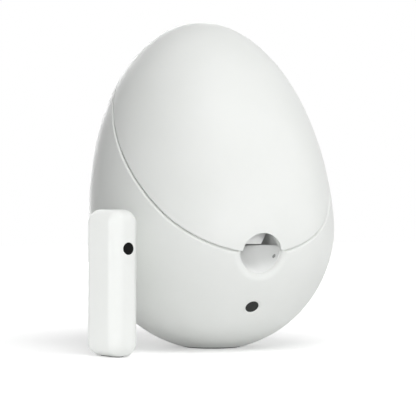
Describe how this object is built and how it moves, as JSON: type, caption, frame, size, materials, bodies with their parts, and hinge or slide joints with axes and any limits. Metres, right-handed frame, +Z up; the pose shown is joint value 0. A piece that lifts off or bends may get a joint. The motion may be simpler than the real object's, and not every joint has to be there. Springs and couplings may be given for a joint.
{
  "type": "treat tossing pet camera",
  "caption": "Egg-shaped treat dispenser with a hinged upper lid, a scooped front chute and a low front camera, beside a slim upright camera unit.",
  "frame": {"origin": "centre of the egg's foot on the surface that the set stands on", "axes": "+Z up, the treat chute faces -Y, X = 0 is the egg's plane of symmetry"},
  "size_m": [0.1869, 0.1718, 0.2248],
  "materials": {
    "battery_wrap": "shrink sleeve",
    "bronze": "sintered bronze",
    "circuit_board": "solder mask",
    "dark_plastic": "matt glass-filled nylon",
    "dark_window": "polished",
    "drum_plastic": "matt",
    "gear_plastic": "natural acetal",
    "grey_plastic": "matt",
    "inner_white": "matt food-safe ABS",
    "iron": "as cast",
    "lens_black": "polished",
    "light_pipe": "clear",
    "magnet_plate": "nickel plated",
    "silicone": "matt",
    "steel": "zinc plated",
    "unit_shell": "satin injection-moulded ABS",
    "white_shell": "satin injection-moulded ABS"
  },
  "bodies": {
    "base": {"ballast_screws": "steel", "ballast_weight": "iron", "base_magnets": "magnet_plate", "base_shell": "white_shell", "button_board": "circuit_board", "button_board_screws": "steel", "camera_board": "circuit_board", "camera_board_screws": "steel", "camera_lens": "lens_black", "camera_window": "dark_window", "chute": "inner_white", "chute_screws": "steel", "cowl_screws": "steel", "drum_bushings": "bronze", "drum_hood": "inner_white", "drum_wiper": "silicone", "feed_motor": "steel", "feed_motor_screws": "steel", "foot_pad": "silicone", "hopper": "inner_white", "hopper_screws": "steel", "kicker_servo": "dark_plastic", "left_side_plate": "inner_white", "lid_hinge_pin": "steel", "lid_seal": "silicone", "main_board": "circuit_board", "main_board_screws": "steel", "mechanism_cowl": "inner_white", "pair_switch": "dark_plastic", "power_jack": "dark_plastic", "right_side_plate": "inner_white", "servo_screws": "steel", "side_plate_screws": "steel", "speaker": "dark_plastic", "speaker_screws": "steel", "status_light": "light_pipe", "treat_sensors": "dark_window"},
    "lid": {"lid_shell": "white_shell", "lid_magnets": "magnet_plate"},
    "drum": {"treat_drum": "drum_plastic", "drum_shaft": "steel", "drum_gear": "gear_plastic"},
    "pinion": {"feed_pinion": "gear_plastic", "feed_motor_shaft": "steel"},
    "kicker": {"kicker_flap": "inner_white", "kicker_shaft": "steel"},
    "button": {"pair_button": "grey_plastic"},
    "camera_unit": {"unit_battery": "battery_wrap", "unit_board": "circuit_board", "unit_bottom_cover": "unit_shell", "unit_case": "unit_shell", "unit_foot_pad": "silicone", "unit_lens": "lens_black", "unit_port": "steel", "unit_screws": "steel", "unit_sled": "dark_plastic", "unit_switch": "dark_plastic", "unit_window": "dark_window"},
    "unit_button_body": {"unit_button": "unit_shell"}
  },
  "joints": [
    {"name": "lid_hinge", "type": "hinge", "parent": "base", "child": "lid", "pos_m": [0, 0.05575, 0.21183], "axis": [-1, 0, 0], "range_deg": [0, 80]},
    {"name": "drum_spin", "type": "hinge", "parent": "base", "child": "drum", "pos_m": [0, -0.048, 0.106], "axis": [1, 0, 0], "continuous": true},
    {"name": "pinion_spin", "type": "hinge", "parent": "base", "child": "pinion", "pos_m": [0, -0.03303, 0.08462], "axis": [1, 0, 0], "continuous": true},
    {"name": "kicker_swing", "type": "hinge", "parent": "base", "child": "kicker", "pos_m": [0, -0.0595, 0.0865], "axis": [-1, 0, 0], "range_deg": [0, 55]},
    {"name": "pair_button_press", "type": "slide", "parent": "base", "child": "button", "axis": [-0.3116, -0.6998, 0.6428], "range_m": [0, 0.0008], "stiffness_N_per_m": 400, "springref_m": -0.0005},
    {"name": "unit_lift", "type": "slide", "parent": "base", "child": "camera_unit", "axis": [0, 0, 1], "range_m": [0, 0.12]},
    {"name": "unit_button_press", "type": "slide", "parent": "camera_unit", "child": "unit_button_body", "axis": [0.2639, -0.9646, 0], "range_m": [0, 0.0006], "stiffness_N_per_m": 400, "springref_m": -0.0005}
  ],
  "couplings": [
    {"joint": "pinion_spin", "follows": "drum_spin", "ratio": -1.6}
  ]
}
